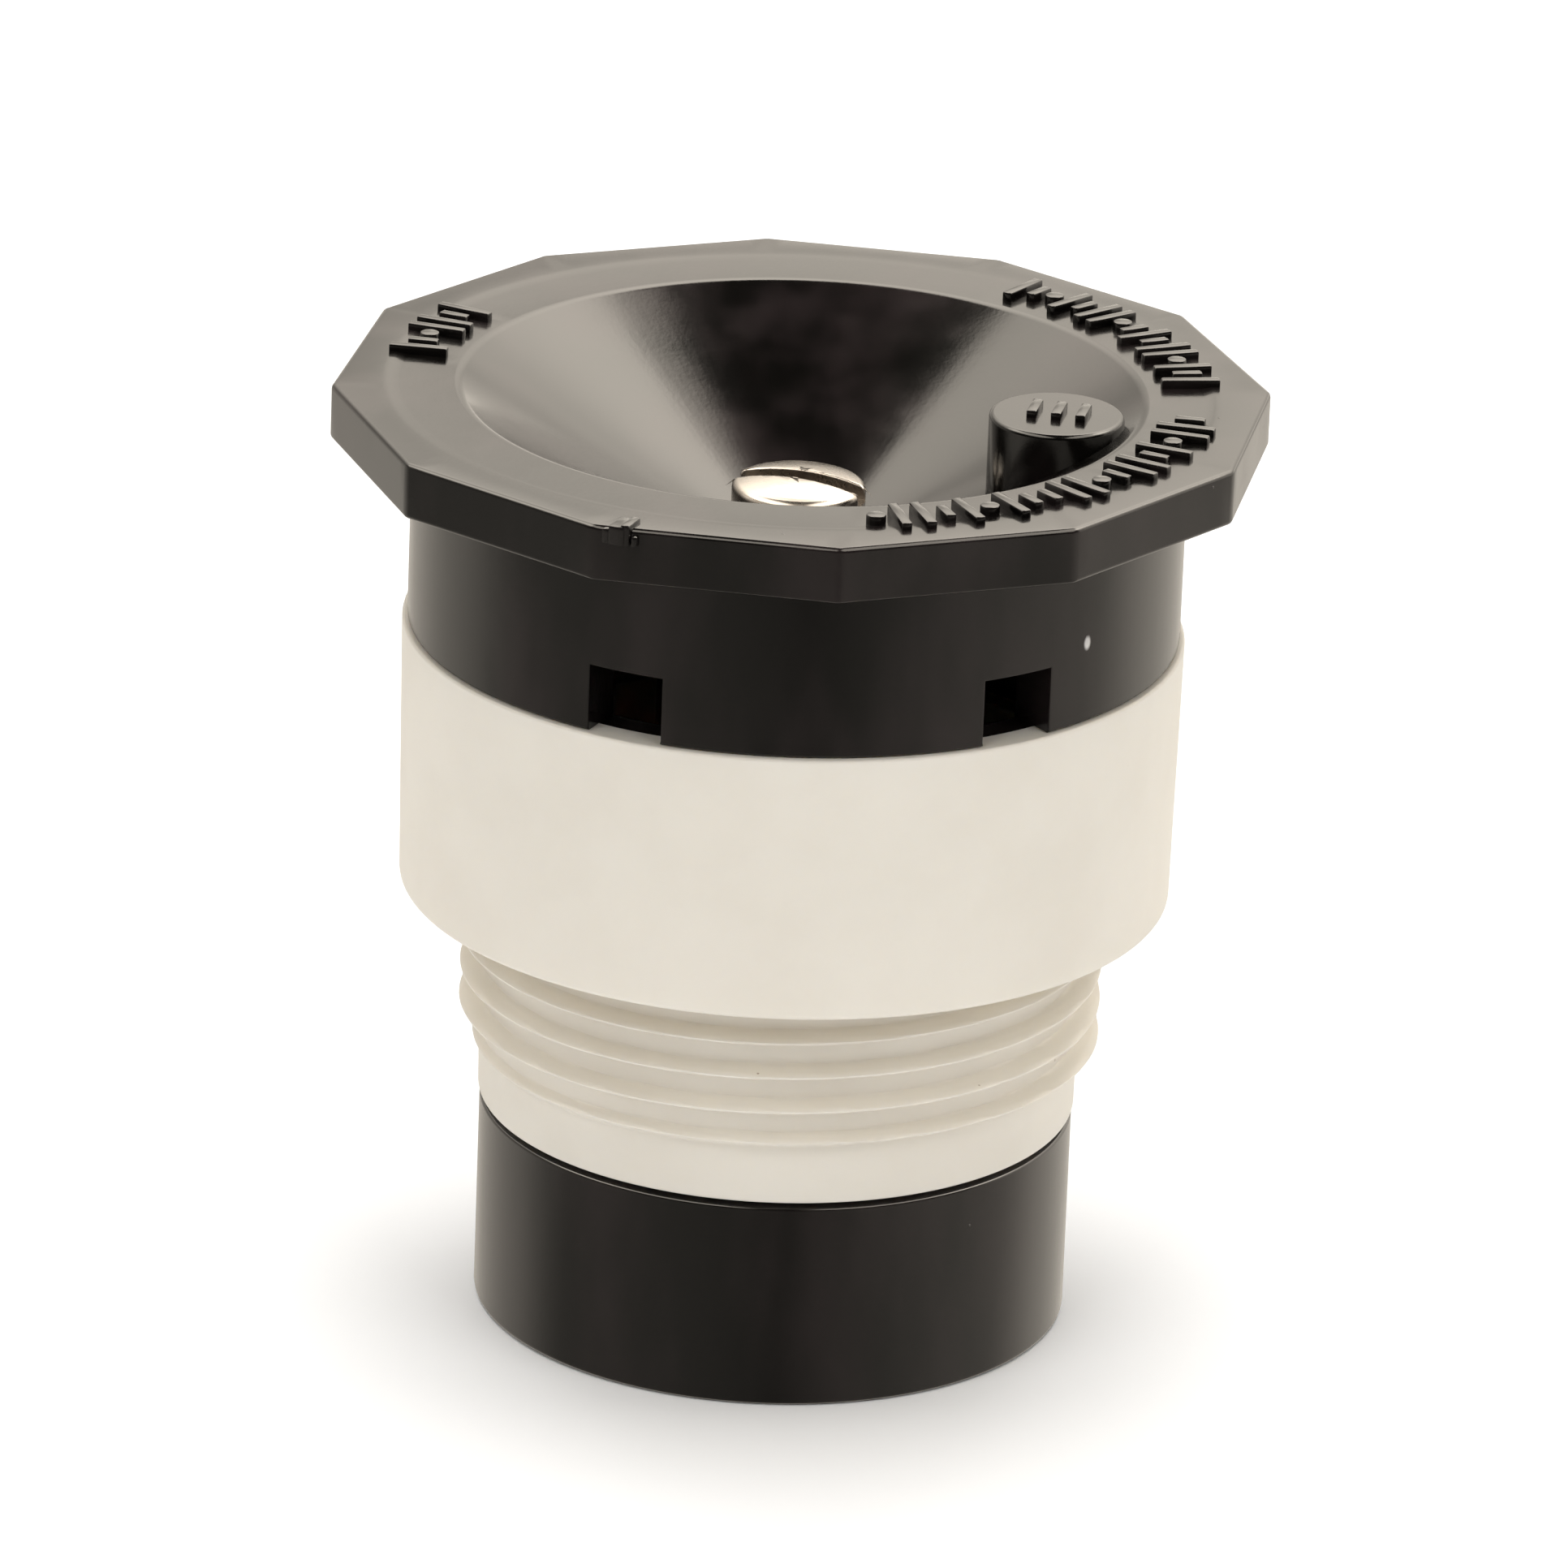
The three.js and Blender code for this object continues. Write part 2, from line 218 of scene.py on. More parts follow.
def turned(name, outline, steps=ROUND_STEPS, closed=True, fine=None):
    """A turned blank: an outline of radius and height, spun about the axis. The stretch whose
    ends are given in fine is divided into that many short edges first."""
    points = rounded(outline)
    if closed:
        points.append(points[0].copy())
    deselect()
    bpy.ops.mesh.primitive_plane_add(size=1, location=(0, 0, 0))
    obj = bpy.context.object
    obj.name = name
    edit(obj)
    bpy.ops.mesh.merge(type="CENTER")
    bpy.ops.transform.translate(value=(points[0].x, 0, points[0].y))
    for start, end in zip(points, points[1:]):
        move = end - start
        bpy.ops.mesh.extrude_region_move(
            TRANSFORM_OT_translate={"value": (move.x, 0, move.y)})
    if fine:
        low, high, count = fine

        def fine_stretch(edge):
            ends = sorted(v.co.z for v in edge.verts)
            return abs(ends[0] - low) < WELD and abs(ends[1] - high) < WELD

        choose(obj, "EDGE", fine_stretch)
        bpy.ops.mesh.subdivide(number_cuts=count - 1)
    bpy.ops.mesh.select_all(action="SELECT")
    bpy.ops.mesh.remove_doubles(threshold=WELD)
    bpy.ops.mesh.spin(steps=steps, angle=2 * math.pi, center=(0, 0, 0), axis=(0, 0, 1))
    bpy.ops.mesh.select_all(action="SELECT")
    bpy.ops.mesh.remove_doubles(threshold=WELD)
    if closed:
        bpy.ops.mesh.normals_make_consistent(inside=False)
    bpy.ops.object.mode_set(mode="OBJECT")
    return obj


def block(size, place, azimuth=0):
    """A block of that size, its middle at radius, across and height, turned about the axis."""
    turn = Matrix.Rotation(math.radians(azimuth), 4, "Z")
    deselect()
    bpy.ops.mesh.primitive_cube_add(size=1, location=turn @ Vector(place), scale=size,
                                    rotation=(0, 0, math.radians(azimuth)))
    return settle(bpy.context.object)


def post(radius, low, high, place_r, azimuth=0, sides=SMALL_STEPS):
    """An upright cylinder between two heights, place_r from the nozzle's axis."""
    turn = Matrix.Rotation(math.radians(azimuth), 4, "Z")
    deselect()
    bpy.ops.mesh.primitive_cylinder_add(
        vertices=sides, radius=radius, depth=high - low,
        location=turn @ Vector((place_r, 0, (low + high) / 2)))
    return settle(bpy.context.object)


def thread(obj, surface_r, depth, pitch, low, high, phase, land):
    """Raises a right-handed helical ridge on the verts of a plain stretch at surface_r. land is
    the crest's share of the pitch, a crest passes -Y at the height phase, and the ridge fades
    out at either end."""
    flank_share, fade_length = 0.42, pitch * 0.6
    for vert in obj.data.vertices:
        x, y, z = vert.co
        r = math.hypot(x, y)
        if abs(r - surface_r) > NEAR or not low < z < high:
            continue
        turns = (z - phase) / pitch - (math.atan2(y, x) + math.pi / 2) / (2 * math.pi)
        off_crest = abs(turns - round(turns)) * 2
        climb = min(max((land + flank_share - off_crest) / flank_share, 0), 1)
        ridge = climb * climb * (3 - 2 * climb)
        fade = min(1, (z - low) / fade_length, (high - z) / fade_length)
        scale = (r + depth * ridge * fade) / r
        vert.co.x, vert.co.y = x * scale, y * scale


def finish_piece(obj, node, finish, smooth=38):
    """Shrinks a finished piece to metres and stands it in for its CAD node."""
    settle(obj)
    obj.scale = (MM, MM, MM)
    settle(obj)
    obj.name = obj.data.name = f"{node}_look"
    bpy.ops.object.shade_smooth_by_angle(angle=math.radians(smooth))
    apply(obj, "WEIGHTED_NORMAL", keep_sharp=True)
    obj.data.materials.clear()
    obj.data.materials.append(finish)
    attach(obj, BODY_OF[node])
    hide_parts(node)
    return obj


# Materials.


class Value:
    """A number that varies over a surface. Arithmetic on it adds Math nodes."""

    def __init__(self, finish, socket):
        self.finish, self.socket = finish, socket

    def _maths(self, operation, first, second):
        node = self.finish.add("ShaderNodeMath", {"operation": operation},
                               {0: first, 1: second})
        return Value(self.finish, node.outputs[0])

    def __add__(self, other):
        return self._maths("ADD", self, other)

    def __radd__(self, other):
        return self._maths("ADD", other, self)

    def __sub__(self, other):
        return self._maths("SUBTRACT", self, other)

    def __rsub__(self, other):
        return self._maths("SUBTRACT", other, self)

    def __mul__(self, other):
        return self._maths("MULTIPLY", self, other)

    def __rmul__(self, other):
        return self._maths("MULTIPLY", other, self)

    def __pow__(self, other):
        return self._maths("POWER", self, other)

    def sine(self):
        return self._maths("SINE", self, 0)

    def between(self, low, high):
        """0 below low, 1 above high, and a smooth step between them."""
        node = self.finish.add("ShaderNodeMapRange", {"interpolation_type": "SMOOTHSTEP"},
                               {"Value": self, "From Min": low, "From Max": high})
        return Value(self.finish, node.outputs["Result"])


class Finish:
    """A node tree with one shader, and the patterns that feed it."""

    def __init__(self, owner, shader, constants):
        owner.use_nodes = True
        self.owner, self.tree = owner, owner.node_tree
        self.shader = self.tree.nodes[shader]
        for name, value in constants.items():
            self.shader.inputs[name].default_value = value

    def add(self, kind, settings=None, values=None):
        """Adds a node: its settings first, then its sockets' values or links."""
        node = self.tree.nodes.new(kind)
        for name, value in (settings or {}).items():
            setattr(node, name, value)
        for name, value in (values or {}).items():
            self.feed(node.inputs[name], value)
        return node

    def feed(self, socket, value):
        if isinstance(value, Value):
            value = value.socket
        if isinstance(value, bpy.types.NodeSocket):
            self.tree.links.new(value, socket)
        else:
            socket.default_value = value

    def set(self, name, value):
        self.feed(self.shader.inputs[name], value)

    def place(self, scale=(1, 1, 1), turn=(0, 0, 0)):
        """Millimetres on the piece, stretched by scale."""
        coordinates = self.add("ShaderNodeTexCoord")
        size = tuple(s / MM for s in scale)
        mapping = self.add("ShaderNodeMapping", None, {
            "Vector": coordinates.outputs["Object"], "Scale": size, "Rotation": turn})
        return mapping.outputs[0]

    def axes(self, place):
        split = self.add("ShaderNodeSeparateXYZ", None, {0: place})
        return [Value(self, socket) for socket in split.outputs]

    def noise(self, place, scale, detail=2.0, roughness=0.5):
        node = self.add("ShaderNodeTexNoise", None, {
            "Vector": place, "Scale": scale, "Detail": detail, "Roughness": roughness})
        return Value(self, node.outputs[0])

    def specks(self, place, scale, size, share):
        """1 on small round specks, in that share of the cells of a random grid."""
        cells = self.add("ShaderNodeTexVoronoi", None, {"Vector": place, "Scale": scale})
        chosen = self.axes(cells.outputs["Color"])[0].between(1 - share, 1 - share + 0.01)
        near = 1 - Value(self, cells.outputs["Distance"]).between(size * 0.6, size)
        return near * chosen

    def edges(self, low, high):
        """1 on the piece's outer edges, where wear shows first."""
        geometry = self.add("ShaderNodeNewGeometry")
        return Value(self, geometry.outputs["Pointiness"]).between(low, high)

    def mix(self, factor, first, second):
        node = self.add("ShaderNodeMix", {"data_type": "RGBA"},
                        {"Factor": factor, 6: first, 7: second})
        return node.outputs[2]

    def bump(self, height, strength, distance_mm, under=None):
        values = {"Height": height, "Strength": strength, "Distance": distance_mm * MM}
        if under:
            values["Normal"] = under
        return self.add("ShaderNodeBump", None, values).outputs[0]


def surface(name, **constants):
    named = {key.replace("_", " "): value for key, value in constants.items()}
    return Finish(bpy.data.materials.new(name), "Principled BSDF", named)


def grey(value, warm=0.0):
    """A grey that leans to red and away from blue by the share warm."""
    return (value * (1 + warm), value, value * (1 - warm), 1)


def black_acetal():
    """Black moulded acetal: glossy, a little brown, cloudy where the melt flowed, with fine
    dust, and a small bump on the skirt whose tip is painted pale as a highlight."""
    f = surface("black_acetal", Metallic=0.0, IOR=1.48)
    deep, brown, rubbed = grey(0.0024, 0.15), (0.0135, 0.0098, 0.0096, 1), grey(0.012, 0.10)
    # The second grey is a painted highlight for the tip of the small bump on the skirt; the first
    # grey is real dust.
    dust_grey, painted_glint_grey = grey(0.06, 0.06), grey(0.55, 0.04)
    nub_x, nub_y, nub_z, upright = 6.46, -6.93, 19.8, 0.4
    place = f.place()
    cloud = f.noise(f.place((0.30, 0.30, 0.10)), 1.0, 3, 0.55).between(0.38, 0.66)
    grain = f.noise(place, 9, 3, 0.6)
    flow = f.noise(f.place((0.35, 0.35, 2.6)), 1.1, 4, 0.6)
    dust = f.specks(place, 1.6, 0.06, 0.06)
    scuff = f.edges(0.52, 0.60)
    x, y, z = f.axes(place)
    off_x, off_y, off_z = x - nub_x, y - nub_y, z - nub_z
    away = (off_x * off_x + off_y * off_y + off_z * off_z * upright) ** 0.5
    # Painted highlight: the mask of the small bump on the skirt, whose tip is painted pale where
    # a glint shows.
    painted_glint_nub = 1 - away.between(0.06, 0.14)
    dark = f.mix(cloud, deep, brown)
    worn = f.mix(scuff * 0.5, dark, rubbed)
    dusty = f.mix(dust * 0.5, worn, dust_grey)
    # This pale mix paints a highlight on the skirt's small bump.
    f.set("Base Color", f.mix(painted_glint_nub, dusty, painted_glint_grey))
    f.set("Roughness", 0.09 + 0.05 * flow + 0.06 * cloud + 0.03 * grain + 0.12 * dust)
    soft = f.bump(f.noise(place, 0.8, 2), 0.35, 0.010)
    fine = f.bump(grain, 0.35, 0.004, soft)
    f.set("Normal", f.bump(dust + painted_glint_nub, 0.6, 0.03, fine))
    return f.owner


def cream_acetal():
    """Cream moulded acetal: soft satin, even, with a few dark specks and faint flow marks."""
    f = surface("cream_acetal", Metallic=0.0, IOR=1.48, Subsurface_Weight=0.12,
                Subsurface_Radius=(0.0012, 0.001, 0.0007), Subsurface_Scale=1.0)
    light_cream, deep_cream = (0.79, 0.745, 0.665, 1), (0.76, 0.712, 0.63, 1)
    speck_brown = (0.25, 0.17, 0.10, 1)
    place = f.place()
    mottle = f.noise(place, 0.35, 4, 0.55)
    grain = f.noise(place, 7, 3, 0.6)
    specks = f.specks(place, 0.9, 0.045, 0.10)
    base = f.mix(mottle.between(0.3, 0.75), light_cream, deep_cream)
    f.set("Base Color", f.mix(specks * 0.7, base, speck_brown))
    f.set("Roughness", 0.40 + 0.10 * mottle + 0.06 * grain)
    soft = f.bump(f.noise(place, 0.9, 2), 0.3, 0.012)
    f.set("Normal", f.bump(grain, 0.3, 0.004, soft))
    return f.owner


def turned_metal(name, light, dark, roughness, lines_per_mm):
    """Bright turned metal: fine rings from the lathe about the axis, a little tarnish, and a few
    scratches."""
    f = surface(name, Metallic=1.0)
    place = f.place()
    x, y, z = f.axes(place)
    radius = (x * x + y * y) ** 0.5
    wander = f.noise(place, 2.5, 3)
    rings = ((radius + z * 0.6 + wander * 0.03) * (2 * math.pi * lines_per_mm)).sine()
    scratches = f.noise(f.place((1.0, 14.0, 1.0), (0, 0, 0.7)), 1.5, 2)
    tarnish = f.noise(place, 1.1, 4, 0.6).between(0.45, 0.8)
    f.set("Base Color", f.mix(tarnish, light, dark))
    f.set("Roughness", roughness + 0.10 * wander + 0.05 * tarnish)
    fine = f.bump(rings * 0.5 + 0.5, 0.12, 0.006)
    f.set("Normal", f.bump(scratches, 0.10, 0.01, fine))
    return f.owner


def seal_rubber():
    """Matte black nitrile with a dusty bloom."""
    f = surface("seal_rubber", Metallic=0.0)
    clean, dusty = grey(0.014, 0.02), grey(0.034, 0.03)
    place = f.place()
    bloom = f.noise(place, 1.2, 4, 0.6).between(0.4, 0.75)
    grain = f.noise(place, 12, 2)
    f.set("Base Color", f.mix(bloom, clean, dusty))
    f.set("Roughness", 0.55 + 0.2 * bloom)
    f.set("Normal", f.bump(grain, 0.4, 0.006))
    return f.owner


# The deflector cap.


def dish_z(r):
    """Height of the dish's wall, which rises at 30 degrees from the screw to the lip."""
    return RIM_Z - RIM_STEP - (DISH_R - r) * DISH_TAN


def cap_shell():
    """The turned part of the cap, open where the grip flange joins it: the rim, the dish, the
    screw's well, the seal's gland and the bore, the hub, and the skirt with its spigot."""
    well_r, well_floor_z, bore_r, hub_r, hub_z = 1.94, 19, 1.25, 3.3, 13.55
    gland_r, gland_low, gland_high = 2, 17, 18
    skirt_foot_z = LEDGE_Z + 0.02
    return turned("cap", [
        (RIM_STEP_R + 0.3, RIM_Z),
        (RIM_STEP_R + 0.1, RIM_Z),
        (RIM_STEP_R - 0.15, RIM_Z - RIM_STEP),
        (DISH_R, RIM_Z - RIM_STEP, 0.45),
        (well_r, dish_z(well_r), 0.1),
        (well_r, well_floor_z),
        (bore_r, well_floor_z),
        (bore_r, gland_high),
        (gland_r, gland_high),
        (gland_r, gland_low),
        (bore_r, gland_low),
        (bore_r, hub_z),
        (hub_r, hub_z, 0.12),
        (hub_r, dish_z(hub_r) - DISH_WALL, 0.4),
        (SKIRT_INNER_R, dish_z(SKIRT_INNER_R) - DISH_WALL, 0.4),
        (SKIRT_INNER_R, CAP_LOW.z, 0.1),
        (SPIGOT_R, CAP_LOW.z, 0.15),
        (SPIGOT_R, skirt_foot_z),
        (SKIRT_R, skirt_foot_z, 0.07),
        (SKIRT_R, RIM_Z - FLANGE_THICK),
    ], closed=False)


def add_grip_flange(cap):
    """Builds the twelve-sided flange between the shell's two open edges."""
    low_z = RIM_Z - FLANGE_THICK
    flat_r = FLANGE_R * math.cos(math.pi / FLANGE_SIDES)
    edit(cap)
    bpy.ops.mesh.select_all(action="DESELECT")
    bpy.ops.mesh.primitive_circle_add(vertices=FLANGE_SIDES, radius=FLANGE_R,
                                      location=(0, 0, RIM_Z))
    bpy.ops.mesh.subdivide(number_cuts=ROUND_STEPS // FLANGE_SIDES - 1)
    bpy.ops.mesh.extrude_edges_move(
        TRANSFORM_OT_translate={"value": (0, 0, -FLANGE_THICK)})

    def open_edge(height):
        """A test for open edges at a height, of the flange's outline and of the shell."""
        def test(edge):
            radii = [math.hypot(v.co.x, v.co.y) for v in edge.verts]
            level = all(abs(v.co.z - height) < NEAR for v in edge.verts)
            return level and len(edge.link_faces) < 2 and min(radii) > SKIRT_R - 0.1
        return test

    for height in (RIM_Z, low_z):
        choose(cap, "EDGE", open_edge(height))
        bpy.ops.mesh.bridge_edge_loops()
    bpy.ops.mesh.select_all(action="SELECT")
    bpy.ops.mesh.normals_make_consistent(inside=False)

    def outline_edge(edge):
        outer = all(math.hypot(v.co.x, v.co.y) >= flat_r - NEAR for v in edge.verts)
        return outer and len(edge.link_faces) == 2 and edge.calc_face_angle(0) > math.radians(20)

    choose(cap, "EDGE", outline_edge)
    bpy.ops.mesh.bevel(offset=0.13, offset_type="OFFSET", segments=4, profile=0.5)
    bpy.ops.object.mode_set(mode="OBJECT")


def cut_windows(cap):
    """Four square windows through the skirt, standing on the body's ledge."""
    cut_r, cut_length = 9, 3
    low = LEDGE_Z - 0.03
    high = LEDGE_Z + WINDOW_HEIGHT
    size = (cut_length, WINDOW_WIDTH, high - low)
    cutters = [block(size, (cut_r, 0, (low + high) / 2), a) for a in WINDOW_AZIMUTHS]
    boolean(cap, join(cutters), "DIFFERENCE")
    edit(cap)

    def window_edge(edge):
        """The upright and upper edges of a window on the skirt's outside."""
        middle_z = (edge.verts[0].co.z + edge.verts[1].co.z) / 2
        sharp = edge.calc_face_angle(0) >= math.radians(40)
        outside = all(abs(math.hypot(v.co.x, v.co.y) - SKIRT_R) < 0.02 for v in edge.verts)
        return sharp and outside and low + 0.1 < middle_z <= high + NEAR

    choose(cap, "EDGE", window_edge)
    bpy.ops.mesh.bevel(offset=0.07, offset_type="OFFSET", segments=2, profile=0.5)
    bpy.ops.object.mode_set(mode="OBJECT")


def raised_mark(kind, azimuth):
    """A rib or a dot on the rim, its foot sunk in the flange."""
    low, high = RIM_Z - 0.5, RIM_Z + MARK_RISE
    if kind == "dot":
        mark = post(DOT_R, low, high, MARK_R, azimuth, 20)
    else:
        size = (RIB_LENGTHS[kind], RIB_WIDTH, high - low)
        mark = block(size, (MARK_R, 0, (low + high) / 2), azimuth)
    return soften(mark, 0.05, 50, 2)


def boss_marks():
    """Three short ribs on the boss."""
    low, high, rib_length = RIM_Z - 0.3, RIM_Z + MARK_RISE, 0.95
    size = (RIB_WIDTH, rib_length, high - low)
    ribs = [block(size, (BOSS_PLACE_R + off, 0, (low + high) / 2), BOSS_AZIMUTH)
            for off in (-0.55, 0.05, 0.65)]
    return soften(join(ribs), 0.05, 50, 2)


def gate_stub():
    """The torn stub that the mould's gate left on the flange's edge, beside a corner. Each lump
    has its reach outwards, its width, its place along the edge and its extra height."""
    azimuth, root_r, root_length = -117, 10.98, 0.5
    low, high = RIM_Z - 0.42, RIM_Z + 0.07
    torn = (
        (0.26, 0.42, 0.0, 0.0),
        (0.22, 0.24, 0.20, 0.05),
        (0.24, 0.20, -0.28, -0.10),
        (0.18, 0.16, 0.42, -0.22),
    )
    lumps = []
    for reach, width, along, rise in torn:
        size = (root_length + reach, width, high + rise - low)
        place = (root_r + reach / 2, along, (low + high + rise) / 2)
        lumps.append(soften(block(size, place, azimuth), 0.06, 50, 2))
    return lumps


def deflector_cap(finish):
    cap = cap_shell()
    add_grip_flange(cap)
    cut_windows(cap)
    socket_size = (SOCKET_WIDTH, SOCKET_WIDTH, SOCKET_TOP_Z - SOCKET_LOW_Z)
    socket = block(socket_size, (0, 0, (SOCKET_LOW_Z + SOCKET_TOP_Z) / 2))
    boolean(cap, socket, "DIFFERENCE")
    boss_foot_z = 20.6
    boss = soften(post(BOSS_R, boss_foot_z, RIM_Z, BOSS_PLACE_R, BOSS_AZIMUTH), 0.12, 50)
    boolean(cap, boss, "UNION")
    marks = [
        raised_mark(kind, start + i * step)
        for start, step, row in RIM_MARKS
        for i, kind in enumerate(row.split())
    ]
    boolean(cap, join([*marks, boss_marks()]), "UNION")
    for lump in gate_stub():
        boolean(cap, lump, "UNION")
    return finish_piece(cap, "deflector_cap", finish, 32)


# The cream body.


def nozzle_body(finish):
    """The collar, the riser thread and the plain lead-in, with the web that carries the seat."""
    bottom_z, thread_low, thread_high = NOZZLE_LOW.z, 6.7, 10.45
    foot_r, root_r, bore_r = 7.4, THREAD_R - THREAD_DEPTH, 6.3
    web_low_z, web_top_z, seat_hole_r = 9.6, 10.8, 3.4
    shelf_z, chamber_r, cap_bore_r = 13.7, 7.5, SPIGOT_R + 0.05
    crest_z, crest_land = 9.78, 0.03
    body = turned("body", [
        (bore_r, bottom_z, 0.12),
        (foot_r, bottom_z, 0.12),
        (root_r, thread_low),
        (root_r, thread_high),
        (root_r, COLLAR_BOTTOM_Z, 0.12),
        (COLLAR_R - 0.1, COLLAR_BOTTOM_Z, 0.12),
        (COLLAR_R, LEDGE_Z, 0.08),
        (cap_bore_r, LEDGE_Z),
        (cap_bore_r, shelf_z),
        (chamber_r, shelf_z, 0.1),
        (chamber_r, web_top_z, 0.3),
        (seat_hole_r, web_top_z),
        (seat_hole_r, web_low_z),
        (bore_r, web_low_z, 0.3),
    ], fine=(thread_low, thread_high, 128))
    thread(body, root_r, THREAD_DEPTH, THREAD_PITCH, thread_low, thread_high, crest_z, crest_land)
    return finish_piece(body, "nozzle_body", finish, 40)


# The black inlet sleeve.


def inlet_sleeve(finish):
    """The tube below the body, with a gland for its seal, a recess for the flow washer, and a
    seat and a groove for the strainer."""
    sleeve_r, shoulder_z, spigot_r, neck_r, bore_r = SLEEVE_HIGH.x, 5.22, 6.25, 4.3, 5.6
    foot_z, top_z = SLEEVE_LOW.z, SLEEVE_HIGH.z
    gland_r, gland_low, gland_high = 5.55, 6.6, 7.8
    recess_r, recess_z, seat_z = 5.1, 7.9, 4.4
    groove_r, groove_low, groove_high = 5.95, 2.4, 3.05
    sleeve = turned("sleeve", [
        (bore_r, foot_z, 0.2),
        (sleeve_r, foot_z, 0.12),
        (sleeve_r, shoulder_z, 0.08),
        (spigot_r, shoulder_z),
        (spigot_r, gland_low, 0.06),
        (gland_r, gland_low),
        (gland_r, gland_high),
        (spigot_r, gland_high, 0.06),
        (spigot_r, top_z, 0.2),
        (recess_r, top_z, 0.06),
        (recess_r, recess_z),
        (neck_r, recess_z, 0.06),
        (neck_r, seat_z, 0.06),
        (bore_r, seat_z),
        (bore_r, groove_high),
        (groove_r, groove_high),
        (groove_r, groove_low),
        (bore_r, groove_low),
    ])
    return finish_piece(sleeve, "inlet_sleeve", finish, 40)


# The steel radius screw.


def radius_screw(finish):
    """A domed slotted head, a shank with a fine thread, and a journal that carries the plug and
    has a groove for its clip."""
    top_z, tip_z, head_r, shank_r, journal_r = SCREW_HIGH.z, SCREW_LOW.z, 1.64, 1.2, 0.75
    head_low, plug_top = top_z - 1.54, 15.23
    clip_r, clip_low, clip_high = 0.5, 11.12, 11.5
    thread_low, thread_high, pitch, depth, land = 15.35, 16.9, 0.45, 0.15, 0.1
    root_r = shank_r - depth
    slot_width, slot_depth, slot_azimuth, crown = 0.58, 0.6, -22, 0.24
    screw = turned("screw", [
        (0, tip_z),
        (journal_r, tip_z, 0.15),
        (journal_r, clip_low),
        (clip_r, clip_low),
        (clip_r, clip_high),
        (journal_r, clip_high),
        (journal_r, plug_top),
        (root_r, plug_top),
        (root_r, thread_low),
        (root_r, thread_high),
        (shank_r, thread_high + depth),
        (shank_r, head_low),
        (head_r, head_low, 0.08),
        (head_r, top_z - crown, 0.2),
        *((r, top_z - crown * (r / head_r) ** 2) for r in (1.2, 0.9, 0.6, 0.3)),
        (0, top_z),
    ], SMALL_STEPS, fine=(thread_low, thread_high, 42))
    thread(screw, root_r, depth, pitch, thread_low, thread_high, thread_high, land)
    clear = 1
    slot_size = (2 * (head_r + clear), slot_width, slot_depth + clear)
    slot = block(slot_size, (0, 0, top_z + (clear - slot_depth) / 2), slot_azimuth)
    boolean(screw, slot, "DIFFERENCE")
    edit(screw)

    def slot_edge(edge):
        upper = all(v.co.z > top_z - slot_depth + 0.05 for v in edge.verts)
        return upper and edge.calc_face_angle(0) > math.radians(40)

    choose(screw, "EDGE", slot_edge)
    bpy.ops.mesh.bevel(offset=0.05, offset_type="OFFSET", segments=3, profile=0.5)
    bpy.ops.object.mode_set(mode="OBJECT")
    return finish_piece(screw, "radius_screw", finish, 40)


# The pieces inside.


def throttle_plug(finish):
    """A square key with a cone below it, bored for the screw's journal."""
    low, high = span("throttle_plug")
    width, cone_top_z, tip_r, cone_r, band, bore_r = high.x - low.x, 12.4, 1.3, 2.3, 0.1, 0.8
    plug = block((width, width, high.z - cone_top_z), (0, 0, (high.z + cone_top_z) / 2))
    soften(plug, 0.15, 60)
    cone = turned("cone", [
        (0, low.z),
        (tip_r, low.z, 0.1),
        (cone_r, cone_top_z, 0.1),
        (cone_r, cone_top_z + band),
        (0, cone_top_z + band),
    ], SMALL_STEPS)
    boolean(plug, cone, "UNION")
    boolean(plug, post(bore_r, low.z - 1, high.z + 1, 0), "DIFFERENCE")
    return finish_piece(plug, "throttle_plug", finish)


def open_ring(node, finish, inner_r, outer_r, gap, azimuth, ears=0.0):
    """A flat spring ring with a gap. ears is the radius of the plier hole beside either end."""
    low, high = span(node)
    ring = turned(node, [(inner_r, low.z), (outer_r, low.z), (outer_r, high.z),
                         (inner_r, high.z)], ROUND_STEPS)
    boolean(ring, block((2 * outer_r, gap, 2), (outer_r, 0, (low.z + high.z) / 2), azimuth),
            "DIFFERENCE")
    if ears:
        middle_r, ear_inset = (inner_r + outer_r) / 2, 0.5
        off = math.degrees((gap / 2 + ear_inset) / middle_r)
        for side in (-off, off):
            hole = post(ears, low.z - 1, high.z + 1, middle_r, azimuth + side, 20)
            boolean(ring, hole, "DIFFERENCE")
    soften(ring, 0.05, 50, 2)
    return finish_piece(ring, node, finish)


def metering_seat(finish):
    """A flanged bush whose mouth opens in a cone for the plug."""
    low, high = span("metering_seat")
    bore_r, bush_r, mouth_r, flange_z, cone_foot_z = 1.6, 3.3, 2.25, 10.84, 10.78
    seat = turned("seat", [
        (bore_r, low.z, 0.05),
        (bush_r, low.z, 0.15),
        (bush_r, flange_z),
        (high.x, flange_z, 0.06),
        (high.x, high.z, 0.12),
        (mouth_r, high.z, 0.08),
        (bore_r, cone_foot_z),
    ], 96)
    return finish_piece(seat, "metering_seat", finish)


def seal_ring(node, finish, section_r):
    """An O-ring with the mould's thin parting line round its outside and inside."""
    low, high = span(node)
    middle_r, middle_z = high.x - section_r, (low.z + high.z) / 2
    sides, line = 24, 0.02
    outline = []
    for i in range(sides):
        angle = 2 * math.pi * i / sides
        across = section_r if i % (sides // 2) == 0 else section_r - line
        outline.append((middle_r + across * math.cos(angle),
                        middle_z + (section_r - line / 2) * math.sin(angle)))
    return finish_piece(turned(node, outline, 96), node, finish, 60)


